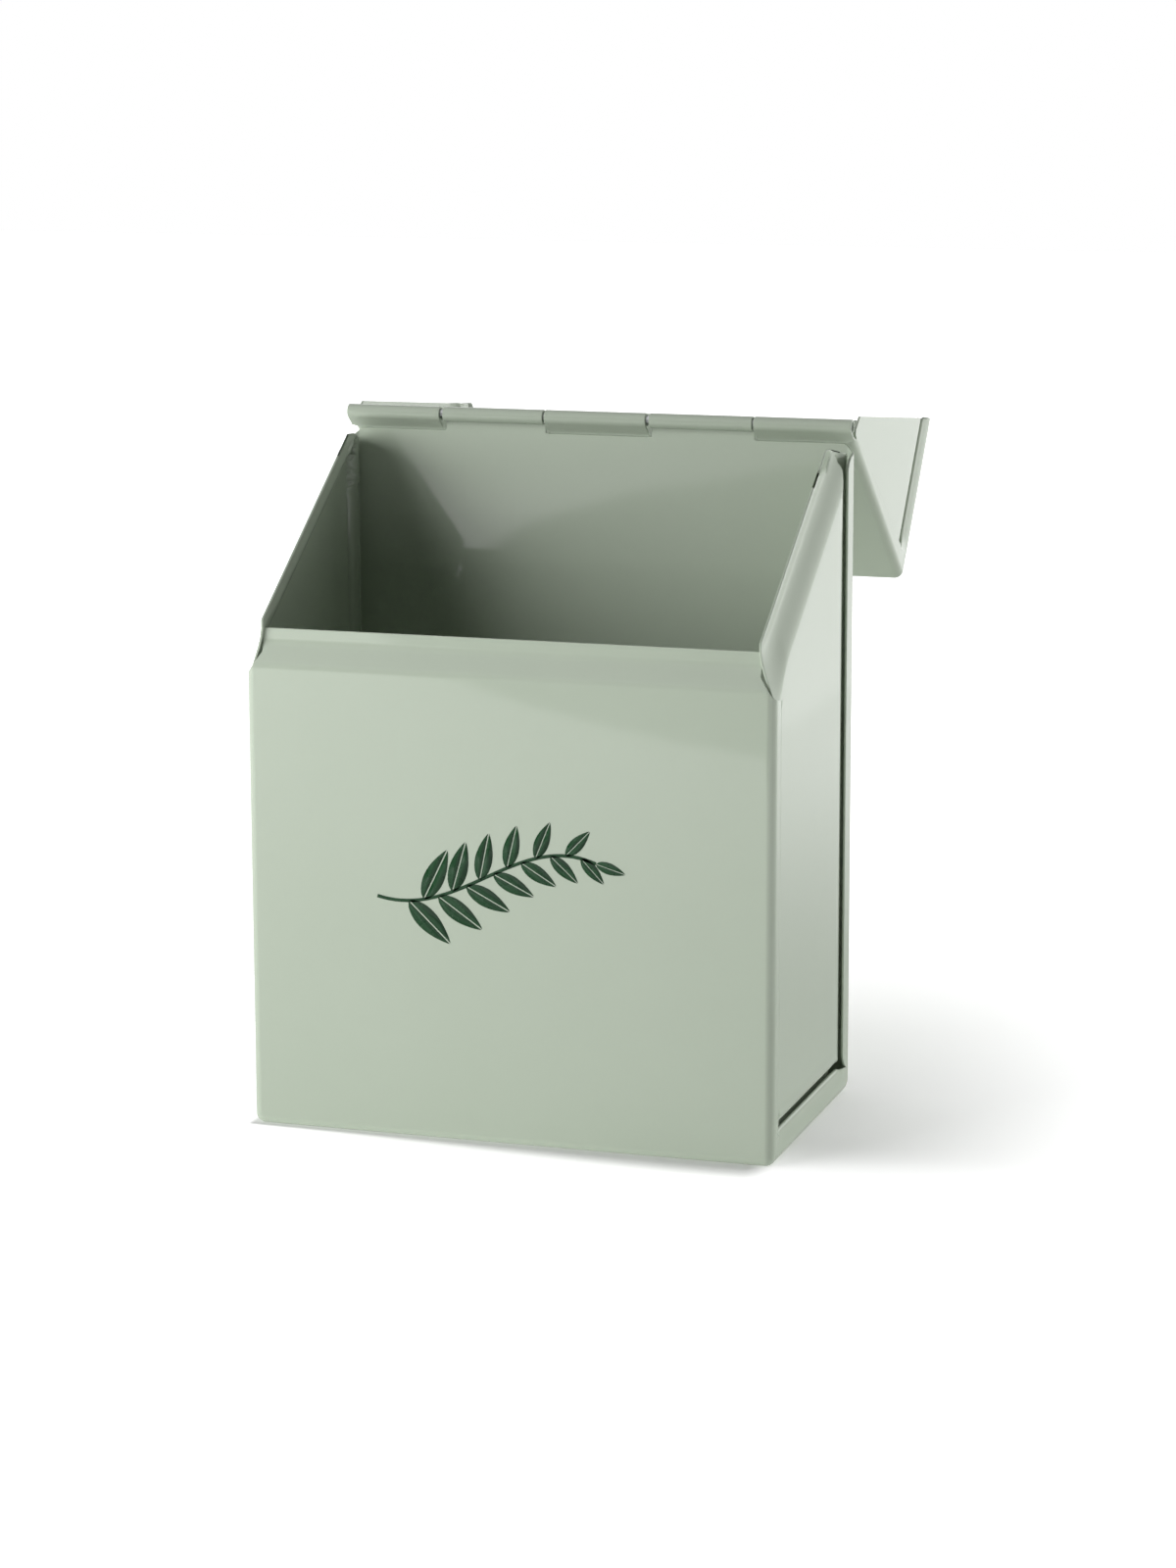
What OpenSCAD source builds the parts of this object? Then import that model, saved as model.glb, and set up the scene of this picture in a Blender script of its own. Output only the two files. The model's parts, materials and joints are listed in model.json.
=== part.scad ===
// Sheet metal box for seed packets with a hinged lid.
// The box stands on z = 0, its front faces -y and the origin is the middle of its base.
// The lid is drawn hanging open behind the box, resting on its stop.

/* [Box] */
// Width of the box
box_w = 175; // [140:1:240]
// Depth of the box
box_d = 98; // [85:1:140]
// Height of the box with its lid closed
closed_h = 225; // [205:1:260]
// Height of the front, up to the top of its lip
front_h = 163.3; // [140:0.1:175]
// Thickness of the sheet metal
sheet_t = 0.8; // [0.6:0.05:0.9]
// Outside radius of the folded edges
bend_r = 3; // [2.5:0.1:4]
// Outside radius of the bottom edge at the back
back_bend_r = 5; // [4:0.1:7]

/* [Neck] */
// Height of the plain lip above the step in the front
lip_h = 4.6; // [3:0.1:7]
// Height of the sloping step in the front
step_h = 7.1; // [5:0.1:10]
// How far the step sets the front lip back
front_inset = 3; // [2.2:0.1:4]
// How far the step sets the edges of the sides in
side_inset = 5; // [4:0.1:5.6]
// Width of the plain strip along the slanted edge of a side
side_strip = 5.2; // [4:0.1:5.6]
// Width of the sloping step below that strip
side_step = 3.6; // [3:0.1:4.2]
// How far a side's front edge stands back from the front face
side_setback = 1.5; // [1:0.1:2]
// How far a side's front corner stands above the front lip
corner_rise = 2.7; // [1:0.1:4]
// Distance of a side's tip from the back face
tip_setback = 18; // [12:0.5:25]
// Distance of a side's tip below the closed top
tip_drop = 8.4; // [7:0.1:12]
// How far the short top edge behind the tip falls
tip_fall = 3.8; // [2:0.1:6]
// Gap between the end of the front lip and the side
lip_gap = 0.3; // [0.2:0.05:0.8]

/* [Flanges] */
// Width of the front sheet's flange on the sides
front_flange = 7; // [5:0.1:10]
// Height of the bottom sheet's flange on the sides
bottom_flange = 9.8; // [7:0.1:14]
// Width of the back sheet's flange on the sides
back_flange = 10; // [8:0.1:14]
// Distance of the back flange's top end below the closed top
flange_drop = 15.8; // [15:0.1:20]
// How far the back flange's slanted top end rises towards the back
flange_rise = 4.2; // [3:0.1:5]
// Size of the open corner between the bottom and back flanges
corner_open = 4.4; // [3:0.1:6]
// How far the bottom flange's edge falls towards the back
corner_fall = 3.4; // [2:0.1:5]
// Width of the open seam beside the bottom and back flanges
slot_w = 1.2; // [0.8:0.1:1.6]
// Width of the tight seam beside the front flange
seam_w = 0.3; // [0.2:0.05:0.5]
// Width of a hem
hem_w = 6; // [4:0.1:7]
// How far the face of a side panel lies below the flanges
face_in = 0.2; // [0.1:0.05:0.4]
// Clearance between a flange and the sheet behind it
lap_gap = 0.1; // [0.05:0.05:0.2]

/* [Lid] */
// Side clearance between the closed lid and the box's own width
lid_clear = 0.2; // [0.1:0.05:0.4]
// How far the lid has slid to the left in the hinge's end play
lid_slide = 0.3; // [0:0.05:0.3]
// How far the ends of the closed lid's front edge reach below the top of the lip
lid_lap = 2.7; // [1.5:0.1:3.5]
// How far the lid's front edge rises between its ends
lid_edge_rise = 2.2; // [0:0.1:2.5]
// How far the cheek's edge lies below the side's edge at the back
cheek_lap = 7.1; // [6.5:0.1:8.5]
// Width of the lid front's flange on the cheeks
lid_front_flange = 8.5; // [7:0.1:11]
// Width of the lid top's flange on the cheeks, at the front
top_flange = 8.4; // [7:0.1:11]
// Width of the lid top's flange on the cheeks, at the hinge
top_flange_end = 2.8; // [2.2:0.1:4]

/* [Hinge] */
// Width of each of the three middle knuckles
knuckle_w = 36; // [26:1:44]
// Gap between two knuckles
knuckle_gap = 0.8; // [0.7:0.1:1.5]
// Outside radius of the knuckles
knuckle_r = 2.5; // [2.3:0.1:3]
// Radial clearance between the pin and the knuckles
pin_clear = 0.08; // [0.03:0.01:0.1]
// Distance of the pin's ends from the ends of the outer knuckles
pin_short = 1.2; // [0.5:0.1:3]
// Depth of the back sheet's notches below the hinge's axis
back_notch = 5.6; // [5.2:0.1:7]
// Depth of the lid sheet's notches in front of the hinge's axis
lid_notch = 6.4; // [6.2:0.1:9]
// Gap that is left where the open lid stops against the back sheet
stop_gap = 0.34; // [0.3:0.02:0.5]

/* [Hidden] */
// Straight pieces in a folded or rounded corner
arc_steps = 6;
// Segments of the round knuckles and the pin
$fn = 48;
// Extra length of a cutting shape past what it cuts
over = 1;
// Height of a cutting block past the box or the lid
spare_h = 40;
paint = [0.71, 0.76, 0.70];
steel = [0.72, 0.73, 0.74];

// Hinge
pin_y = box_d - knuckle_r;
pin_z = closed_h - knuckle_r;
bore_r = knuckle_r - sheet_t;
pin_r = bore_r - pin_clear;
corner_reach = norm([knuckle_r, back_notch]);
open_angle = 180 + acos((knuckle_r + stop_gap) / corner_reach) - atan2(knuckle_r, back_notch);
joint_x = [for (i = [-1.5, -0.5, 0.5, 1.5]) box_w / 2 + i * knuckle_w];
// The slit that the curled edge leaves in a knuckle
curl_slit = 0.6;

// Neck
step_top_z = front_h - lip_h;
step_z = step_top_z - step_h;
corner_z = front_h + corner_rise;
tip_y = box_d - tip_setback;
tip_z = closed_h - tip_drop;
neck_slope = (tip_z - corner_z) / (tip_y - side_setback);
neck_angle = atan(neck_slope);
lip_end = side_inset + sheet_t + lip_gap;
// Height at which the front sheet's corner starts to open
open_z = step_z - 3;
// Height at which the end of the lip starts
lip_end_z = step_z + 4;

// Side panels, measured inwards from the outside of the box
rim_in = 2 * sheet_t + lap_gap;
rim_edge = bend_r - 0.4;
rim_back = box_d - rim_edge;
rim_chamfer = 4;
bar_w = 1.2;
field_front = front_flange + seam_w;
field_bottom = bottom_flange + slot_w;
field_back = box_d - back_flange - slot_w;
flange_top_z = closed_h - flange_drop;
flange_edge = box_d - back_flange;

// Lid
lid_w = box_w - 2 * lid_clear;
lid_edge_z = front_h - lid_lap;
cheek_y = pin_y - 7;
cheek_z = neck_z(cheek_y) - cheek_lap;
cheek_slope = (cheek_z - lid_edge_z) / cheek_y;
// Where the lid's side flanges end in front of the hinge
lid_bend_end = pin_y - 5.5;
flange_foot_z = closed_h - top_flange;

// Height of a side panel's slanted edge at a distance from the front
function neck_z(y) = corner_z + (y - side_setback) * neck_slope;
// The line that far below the slanted edge, square to it
function below_neck_z(y, down) = neck_z(y) - down / cos(neck_angle);
// Height of the free edge of the closed lid's cheeks
function cheek_edge_z(y) = lid_edge_z + y * cheek_slope;

function unit(v) = v / norm(v);
function left_of(v) = [-v.y, v.x];
function backwards(list) = [for (i = [len(list) - 1 : -1 : 0]) list[i]];
// The arc that rounds corner b of the line a, b, c, moved sideways by s
function corner_arc(a, b, c, r, s) =
    let (u = unit(b - a), v = unit(c - b), way = u.x * v.y > u.y * v.x ? 1 : -1,
         turn = acos(min(1, u * v)), start = b - u * r * tan(turn / 2), n = left_of(u),
         middle = start + way * r * n, a0 = atan2(n.y, n.x))
    [for (k = [0 : arc_steps]) let (w = a0 + way * turn * k / arc_steps)
        middle - way * (r - s * way) * [cos(w), sin(w)]];
// An open line with rounded corners, moved sideways by s
function bent(p, r, s) =
    let (n = len(p) - 1)
    [for (i = [0 : n]) each
        i == 0 ? [p[0] + s * left_of(unit(p[1] - p[0]))]
        : i == n ? [p[n] + s * left_of(unit(p[n] - p[n - 1]))]
        : corner_arc(p[i - 1], p[i], p[i + 1], r[i], s)];
// A closed outline with rounded corners; a radius of 0 leaves the corner sharp
function rounded(p, r) =
    let (n = len(p))
    [for (i = [0 : n - 1]) each
        r[i] == 0 ? [p[i]] : corner_arc(p[(i + n - 1) % n], p[i], p[(i + 1) % n], r[i], 0)];

// A flat shape in the y-z plane, drawn out along x
module along_x(length) {
    rotate([90, 0, 90]) linear_extrude(length) children();
}
// A flat shape in the x-z plane, drawn out along y
module along_y(length) {
    translate([0, length, 0]) rotate([90, 0, 0]) linear_extrude(length) children();
}
// A sheet folded along a line, with its outside on that line
module folded(p, r) {
    polygon(concat(bent(p, r, 0), backwards(bent(p, r, sheet_t))));
}
// The same shape on the left and mirrored on the right of a width
module both_sides(width) {
    children();
    translate([width, 0, 0]) mirror([1, 0, 0]) children();
}
// A bar of doubled sheet with rounded edges, which makes a folded hem along z
module hem(length) {
    r = sheet_t * 0.97;
    linear_extrude(length) polygon(rounded(
        [[0, 0], [2 * sheet_t, 0], [2 * sheet_t, hem_w], [0, hem_w]], [r, r, r, r]));
}
// A rolled knuckle around the hinge's axis, with the slit of its curled edge at an angle
module knuckle(x0, x1, slit_angle) {
    translate([x0, pin_y, pin_z]) difference() {
        rotate([0, 90, 0]) cylinder(h = x1 - x0, r = knuckle_r);
        translate([-over, 0, 0]) rotate([0, 90, 0]) cylinder(h = x1 - x0 + 2 * over, r = bore_r);
        rotate([slit_angle, 0, 0]) translate([-over, bore_r - 0.2, -curl_slit / 2])
            cube([x1 - x0 + 2 * over, sheet_t + 0.4, curl_slit]);
    }
}
// Moves a shape from the middle of the base to the corner that the sizes start from
module centred() {
    translate([-box_w / 2, -box_d / 2, 0]) children();
}
// Turns the closed lid to where it hangs open
module opened() {
    translate([lid_clear - lid_slide, pin_y, pin_z]) rotate([-open_angle, 0, 0])
        translate([0, -pin_y, -pin_z]) children();
}

// The box as one block with rounded folds; inset 0 is its outside, sheet_t its inside
module box_block(inset) {
    line = [[front_inset, front_h], [front_inset, step_top_z], [0, step_z], [0, 0],
            [box_d, 0], [box_d, pin_z]];
    radii = [0, bend_r, bend_r, bend_r, back_bend_r, 0];
    tall = closed_h + spare_h;
    low = inset;
    r = bend_r - inset;
    cap = inset == 0 ? [] : [[box_d - inset, tall], [front_inset + inset, tall]];
    intersection() {
        along_x(box_w) polygon(concat(bent(line, radii, inset), cap));
        linear_extrude(tall) polygon(rounded(
            [[low, low], [box_w - low, low], [box_w - low, box_d - low], [low, box_d - low]],
            [r, r, r, r]));
        along_y(box_d) polygon(rounded(
            [[low, low], [box_w - low, low], [box_w - low, tall], [low, tall]], [r, r, 0, 0]));
    }
}
// The curved top end of the back flange, moved up by a gap
function flange_top(gap) =
    [for (p = [[0.08, 0.03], [0.19, 0.4], [0.35, 0.8], [0.6, 1]])
        [flange_edge + p.x * back_flange, flange_top_z + p.y * flange_rise + gap]];
// The outline of the flanges on a side of the box, without their hems
module side_flanges() {
    far = box_d + over;
    hem_line = flange_edge + sheet_t;
    meet = [flange_edge + corner_open, bottom_flange - 0.3 * corner_fall];
    low_z = bottom_flange - corner_fall;
    polygon([[-over, -over], [far, -over], [far, low_z], meet,
             [flange_edge - slot_w, bottom_flange], [front_flange, bottom_flange],
             [front_flange, open_z - 1], [-over, open_z]]);
    polygon(concat(
        [[hem_line, bottom_flange + 0.5 * corner_open], meet + [0, seam_w],
         [far, low_z + seam_w], [far, flange_top_z + flange_rise]],
        backwards(flange_top(0))));
}
// What is cut away at one end of the front sheet to make the end of the lip
module lip_cut() {
    along_y(front_inset + sheet_t + over) polygon(
        [[-over, open_z], [1, open_z], [2.2, step_z - 0.6], [lip_end, lip_end_z],
         [lip_end, front_h + over], [-over, front_h + over]]);
}
module body_wrap() color(paint) centred() {
    hem_z = bottom_flange + 0.5 * corner_open;
    difference() {
        box_block(0);
        box_block(sheet_t);
        both_sides(box_w) {
            translate([-over, 0, 0]) along_x(sheet_t + over) difference() {
                translate([-over, -over]) square([box_d + 2 * over, closed_h + over]);
                side_flanges();
            }
            translate([0, -over, 0]) lip_cut();
            // Chamfered top corner of the back sheet
            translate([0, box_d - bend_r - over, 0]) along_y(bend_r + 2 * over) polygon(
                [[-over, pin_z - back_notch - 3], [1, pin_z - back_notch - 3],
                 [4.2, pin_z - back_notch], [4.2, closed_h], [-over, closed_h]]);
        }
        // Notches that clear the lid's knuckles
        for (span = [[-over, joint_x[0] + knuckle_gap / 2],
                     [joint_x[1] - knuckle_gap / 2, joint_x[2] + knuckle_gap / 2],
                     [joint_x[3] - knuckle_gap / 2, box_w + over]])
            translate([span[0], box_d - bend_r - over, pin_z - back_notch])
                cube([span[1] - span[0], bend_r + 2 * over, back_notch + over]);
    }
    for (i = [0, 2])
        knuckle(joint_x[i] + knuckle_gap / 2, joint_x[i + 1] - knuckle_gap / 2, -55);
    both_sides(box_w) translate([0, flange_edge, hem_z]) hem(flange_top_z - hem_z);
}

// The left side panel, from its flat face to the rim behind the flanges
module side_panel() {
    shoulder = side_strip + side_step;
    foot_z = below_neck_z(side_setback, shoulder);
    back_z = flange_top_z - 1;
    cut_top = flange_top(seam_w);
    outline = rounded(
        [[rim_edge, rim_edge], [rim_back - rim_chamfer, rim_edge], [rim_back, rim_edge + rim_chamfer],
         [rim_back, tip_z - tip_fall], [tip_y, tip_z], [side_setback, corner_z],
         [side_setback, step_z + 1.5], [rim_edge, step_z]],
        [0, 0, 0, 3, 2.5, 1, 0, 0]);
    difference() {
        union() {
            // Flat face
            translate([face_in, 0, 0]) along_x(sheet_t) polygon(
                [[field_front, field_bottom], [field_back, field_bottom],
                 [field_back, below_neck_z(field_back, shoulder)],
                 [side_setback, foot_z], [side_setback, step_z + 1.5], [rim_edge, step_z],
                 [rim_edge, open_z + seam_w], [field_front, open_z + seam_w - 1]]);
            // Slanted neck with its sloping step
            intersection() {
                along_x(side_inset + 2 * sheet_t) polygon(outline);
                translate([0, side_setback, corner_z]) rotate([neck_angle, 0, 0])
                    translate([0, -10, 0]) along_y(box_d * 2) folded(
                        [[side_inset, over], [side_inset, -side_strip],
                         [face_in, -shoulder], [face_in, -shoulder - 1.5]],
                        [0, 1.2, 1.2, 0]);
            }
        }
        // Room for the back flange
        translate([-over, 0, 0]) along_x(rim_in + over) polygon(concat(
            [[box_d, 0], [field_back, 0], [field_back, cut_top[0].y]], cut_top,
            [[box_d, flange_top_z + flange_rise + seam_w]]));
    }
    // Rim behind the flanges, and the bars that join it to the flat face
    translate([rim_in, 0, 0]) along_x(sheet_t) difference() {
        polygon(outline);
        polygon([[field_front + bar_w, field_bottom + bar_w],
                 [field_back - bar_w, field_bottom + bar_w],
                 [field_back - bar_w, back_z], [box_d, back_z], [box_d, closed_h],
                 [0, closed_h], [0, open_z], [field_front + bar_w, open_z]]);
    }
    depth = rim_in + sheet_t - face_in;
    translate([face_in, field_front, field_bottom])
        cube([depth, bar_w, open_z - 1 - field_bottom]);
    translate([face_in, field_front, field_bottom])
        cube([depth, field_back - field_front, bar_w]);
    translate([face_in, field_back - bar_w, field_bottom])
        cube([depth, bar_w, below_neck_z(field_back - bar_w, shoulder) - field_bottom]);
}
module side_panel_left() color(paint) centred() side_panel();
module side_panel_right() color(paint) centred()
    translate([box_w, 0, 0]) mirror([1, 0, 0]) side_panel();

module hinge_pin() color(steel) centred() {
    translate([pin_short, pin_y, pin_z]) rotate([0, 90, 0])
        cylinder(h = box_w - 2 * pin_short, r = pin_r);
}

// The closed lid's folded sheet as one block; inset 0 is its outside
module lid_block(inset) {
    line = [[lid_bend_end, closed_h], [0, closed_h], [0, lid_edge_z]];
    r = bend_r - inset;
    low = inset;
    high = closed_h - inset;
    deep = lid_edge_z - spare_h;
    cap = inset == 0
        ? [[cheek_y, cheek_z], [lid_bend_end, cheek_z]]
        : [[low, deep], [lid_bend_end + over, deep], [lid_bend_end + over, high]];
    intersection() {
        along_x(lid_w) polygon(concat(bent(line, [0, bend_r, 0], inset), cap));
        linear_extrude(closed_h) polygon(rounded(
            [[low, low], [lid_w - low, low], [lid_w - low, box_d], [low, box_d]], [r, r, 0, 0]));
        along_y(box_d) polygon(rounded(
            [[low, deep], [lid_w - low, deep], [lid_w - low, high], [low, high]], [0, 0, r, r]));
    }
}
// The outline of the flanges on a side of the closed lid
module lid_flanges() {
    polygon([[-over, closed_h + over], [lid_bend_end, closed_h + over],
             [lid_bend_end, closed_h - top_flange_end],
             [lid_front_flange + 6, flange_foot_z], [-over, flange_foot_z]]);
    polygon([[-over, closed_h], [lid_front_flange - sheet_t, flange_foot_z],
             [lid_front_flange - sheet_t, 0], [-over, 0]]);
}
module lid_shell() color(paint) centred() opened() {
    difference() {
        union() {
            difference() {
                lid_block(0);
                lid_block(sheet_t);
                both_sides(lid_w) translate([-over, 0, 0]) along_x(sheet_t + over) difference() {
                    translate([-over, 0]) square([box_d, closed_h + over]);
                    lid_flanges();
                }
            }
            // Flat stretch of the top between its flanges and the knuckles
            translate([0, lid_bend_end - 0.5, closed_h - sheet_t])
                cube([lid_w, pin_y - lid_bend_end + 0.5, sheet_t]);
            for (span = [[0, lid_joint(0) - knuckle_gap / 2],
                         [lid_joint(1) + knuckle_gap / 2, lid_joint(2) - knuckle_gap / 2],
                         [lid_joint(3) + knuckle_gap / 2, lid_w]])
                knuckle(span[0], span[1], 150);
        }
        // Notches that clear the back sheet's knuckles
        for (i = [0, 2])
            translate([lid_joint(i) - knuckle_gap / 2, pin_y - lid_notch, pin_z])
                cube([knuckle_w + knuckle_gap, lid_notch + over, knuckle_r + over]);
        // Front edge, higher between its ends
        translate([hem_w, -over, lid_edge_z - over])
            cube([lid_w - 2 * hem_w, sheet_t + 2 * over, lid_edge_rise + over]);
    }
    both_sides(lid_w) translate([0, lid_front_flange - hem_w, cheek_edge_z(lid_front_flange)])
        hem(flange_foot_z - 0.5 - cheek_edge_z(lid_front_flange));
}
function lid_joint(i) = joint_x[i] - lid_clear;

// The left cheek of the closed lid
module lid_cheek() {
    front_y = lid_front_flange + slot_w;
    foot_y = lid_front_flange + 6;
    // Height of the tight seam under the lid top's flange
    seam_slope = (top_flange - top_flange_end) / (lid_bend_end - foot_y);
    end_z = closed_h - top_flange_end - seam_w;
    foot_z = flange_foot_z - seam_w;
    face_y = lid_bend_end - 1;
    top_z = closed_h - rim_edge;
    depth = rim_in + sheet_t - face_in;
    edge = [for (y = [front_y, front_y + bar_w]) cheek_edge_z(y)];
    translate([face_in, 0, 0]) along_x(sheet_t) polygon(
        [[front_y, edge[0]], [cheek_y, cheek_z], [lid_bend_end, end_z - bar_w],
         [face_y, end_z], [foot_y, foot_z], [front_y, foot_z]]);
    translate([rim_in, 0, 0]) along_x(sheet_t) polygon(
        [[rim_edge, cheek_edge_z(rim_edge)], [front_y + bar_w, edge[1]],
         [front_y + bar_w, foot_z - bar_w], [foot_y, foot_z - bar_w],
         [face_y, end_z - bar_w], [face_y, top_z], [rim_edge, top_z]]);
    translate([face_in, 0, 0]) along_x(depth) polygon(
        [[front_y, edge[0]], [front_y + bar_w, edge[1]], [front_y + bar_w, foot_z - bar_w],
         [foot_y, foot_z - bar_w], [face_y, end_z - bar_w], [face_y, end_z],
         [foot_y, foot_z], [front_y, foot_z]]);
}
module lid_cheek_left() color(paint) centred() opened() lid_cheek();
module lid_cheek_right() color(paint) centred() opened()
    translate([lid_w, 0, 0]) mirror([1, 0, 0]) lid_cheek();

body_wrap();
side_panel_left();
side_panel_right();
hinge_pin();
lid_shell();
lid_cheek_left();
lid_cheek_right();
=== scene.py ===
"""A painted sheet metal box for seed packets, with its hooded lid hanging open behind it."""
import json
import math

import bpy
import numpy as np
from mathutils import Matrix, Vector
from mathutils.geometry import delaunay_2d_cdt


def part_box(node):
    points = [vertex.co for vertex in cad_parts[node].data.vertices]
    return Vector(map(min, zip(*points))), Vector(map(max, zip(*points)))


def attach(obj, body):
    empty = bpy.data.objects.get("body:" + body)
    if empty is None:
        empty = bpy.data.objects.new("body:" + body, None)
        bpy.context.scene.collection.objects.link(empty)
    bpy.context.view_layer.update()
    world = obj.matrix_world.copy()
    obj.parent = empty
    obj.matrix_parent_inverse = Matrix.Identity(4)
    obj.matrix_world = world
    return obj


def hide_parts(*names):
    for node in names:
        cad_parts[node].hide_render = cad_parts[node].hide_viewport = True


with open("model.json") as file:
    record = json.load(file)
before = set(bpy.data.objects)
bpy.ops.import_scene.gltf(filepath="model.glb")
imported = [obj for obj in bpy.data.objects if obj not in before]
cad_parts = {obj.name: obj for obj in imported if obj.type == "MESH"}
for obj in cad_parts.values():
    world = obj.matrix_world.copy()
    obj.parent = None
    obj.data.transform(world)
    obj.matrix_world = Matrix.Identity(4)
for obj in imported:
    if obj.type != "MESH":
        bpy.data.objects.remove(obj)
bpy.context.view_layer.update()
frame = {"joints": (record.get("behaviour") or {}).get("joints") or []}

# Sizes in millimetres: x runs from the middle, y from the front face and z from the floor.
MM = 0.001
BODY_LOW, BODY_HIGH = (np.array(v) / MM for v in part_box("body_wrap"))
BOX_W, BOX_D, CLOSED_H = BODY_HIGH - BODY_LOW
SHEET = 0.8
CUT_ROUND = 0.3
HEM_W = 4.5

# The folds' outer radii, and how far the hemmed flanges curl in
FOLD = 3.0
STEP_FOLD = 7.0
BACK_FOLD = 5.0
CURL = 0.9

# Heights on the front: the lip's top, its foot and the foot of the step below it
FRONT_H = 163.3
LIP_FOOT = 158.7
STEP_FOOT = 151.6
LIP_INSET = 3.0

# The flanges of the body: where their free edges run
FRONT_FLANGE = 6.7
LOW_FLANGE = 9.0
BACK_FLANGE = 88.8

# The hinge: five knuckles round a pin, the body's two between the lid's three, and how many
# degrees each sheet is rolled round it
KNUCKLE_R = 2.5
KNUCKLE_W = 36.0
KNUCKLE_GAP = 0.8
KNUCKLE_PLAY = KNUCKLE_GAP / 2 + CUT_ROUND
PIN = np.array([BOX_D - KNUCKLE_R, CLOSED_H - KNUCKLE_R])
BODY_ROLL = 305
LID_ROLL = 300
OPEN_TURN = -math.radians(frame["joints"][0]["range_deg"][1])

# The lid: its width, its play along the pin, the foot and the slant of its sides, how much
# higher its front edge lies, the notches beside its knuckles, and where its side flanges run
LID_W = BOX_W - 0.4
LID_SHIFT = -0.3
LID_EDGE = 158.8
LID_SLOPE = 0.6238
LID_RISE = 2.2
LID_NOTCH = 6.7
LID_FLANGE = 7.7
LID_FLANGE_BACK = 84.0

# The side panels' slanted necks, set in by a step
NECK_LOW = np.array([1.5, 166.0])
NECK_TIP = np.array([80.0, 216.6])
NECK_SLOPE = (NECK_TIP[1] - NECK_LOW[1]) / (NECK_TIP[0] - NECK_LOW[0])
NECK_COS = 1 / math.hypot(1, NECK_SLOPE)
NECK_INSET = 5.0

# How deep the panels lie all over, at the seams under the flanges and in the slots beside them
PANEL_INSET = 0.2
SEAM_DEEP = 0.78
SLOT_DEEP = 4.2
LID_SLOT_DEEP = 2.7

# How wide the slots are, and where they run
SLOT_W = 1.1
BACK_SLOT = 88.0
LOW_SLOT = 9.8
LID_SLOT = 8.5

# The dimple at the tip of each neck: half its length and width, its depth and its direction
DIMPLE_LONG = 4.8
DIMPLE_WIDE = 0.9
DIMPLE_DEEP = 0.8
DIMPLE_WAY = (0.77, 0.64)

# The sprig on the front: heights and places of its stem, and its leaves
STEM_POINTS = ((-43.5, 79), (-16, 72), (4, 104), (29.6, 94))
STEM_W = 1.1
STEM_DEEP = 0.1
LEAVES = 14
LEAN = 52


def smooth(x, a, b):
    """Goes smoothly from 0 at a to 1 at b."""
    t = np.clip((np.asarray(x, float) - a) / (b - a), 0, 1)
    return t * t * (3 - 2 * t)


def left_of(v):
    """The direction to the left of a flat direction."""
    return np.array([-v[1], v[0]])


# Folded lines
class FoldedLine:
    """The outside of a folded sheet in the y-z plane, measured along its length."""

    def __init__(self, parts):
        self.parts, self.starts = parts, [0.0]
        for kind, *data in parts:
            if kind == "line":
                length = np.linalg.norm(data[1] - data[0])
            else:
                length = abs(data[3] - data[2]) * data[1]
            self.starts.append(self.starts[-1] + length)
        self.length = self.starts[-1]

    def at(self, s):
        """Gives the points at lengths s and the directions to the sheet's inner side."""
        s = np.asarray(s, float)
        point, inward = np.zeros(s.shape + (2,)), np.zeros(s.shape + (2,))
        for (kind, *data), s0, s1 in zip(self.parts, self.starts, self.starts[1:]):
            here = (s >= s0 - 1e-9) & (s <= s1 + 1e-9)
            t = (s[here] - s0) / (s1 - s0)
            if kind == "line":
                a, b = data
                point[here] = a + t[:, None] * (b - a)
                inward[here] = left_of((b - a) / np.linalg.norm(b - a))
            else:
                centre, radius, a0, a1 = data
                w = a0 + t * (a1 - a0)
                ray = np.stack([np.cos(w), np.sin(w)], axis=-1)
                point[here] = centre + radius * ray
                inward[here] = -np.sign(a1 - a0) * ray
        return point, inward

    def stations(self, flat=6.0, curved=0.5):
        """Lengths that follow the line closely in its curves and loosely between them."""
        out = [0.0]
        for (kind, *_), s0, s1 in zip(self.parts, self.starts, self.starts[1:]):
            step = flat if kind == "line" else curved
            count = max(1, math.ceil((s1 - s0) / step))
            out.extend(s0 + (s1 - s0) * np.arange(1, count + 1) / count)
        return np.array(out)

    def at_heights(self, first, last, heights):
        """The lengths at which the line reaches some heights, between two of its starts."""
        s = np.linspace(self.starts[first], self.starts[last], 400)
        z = self.at(s)[0][:, 1]
        order = np.argsort(z)
        return np.interp(heights, z[order], s[order])


def bend_line(corners, radii):
    """Straight parts joined by arcs; radii has one value for each inner corner."""
    corners = [np.array(c, float) for c in corners]
    parts, here = [], corners[0]
    for i, radius in enumerate(radii, 1):
        u = corners[i] - corners[i - 1]
        v = corners[i + 1] - corners[i]
        u, v = u / np.linalg.norm(u), v / np.linalg.norm(v)
        way = 1 if u[0] * v[1] - u[1] * v[0] > 0 else -1
        turn = math.acos(min(1, float(u @ v)))
        start = corners[i] - u * radius * math.tan(turn / 2)
        centre = start + way * radius * left_of(u)
        ray = start - centre
        a0 = math.atan2(ray[1], ray[0])
        a1 = a0 + way * turn
        parts.append(("line", here, start))
        parts.append(("arc", centre, radius, a0, a1))
        here = centre + radius * np.array([math.cos(a1), math.sin(a1)])
    parts.append(("line", here, corners[-1]))
    return parts


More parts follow.
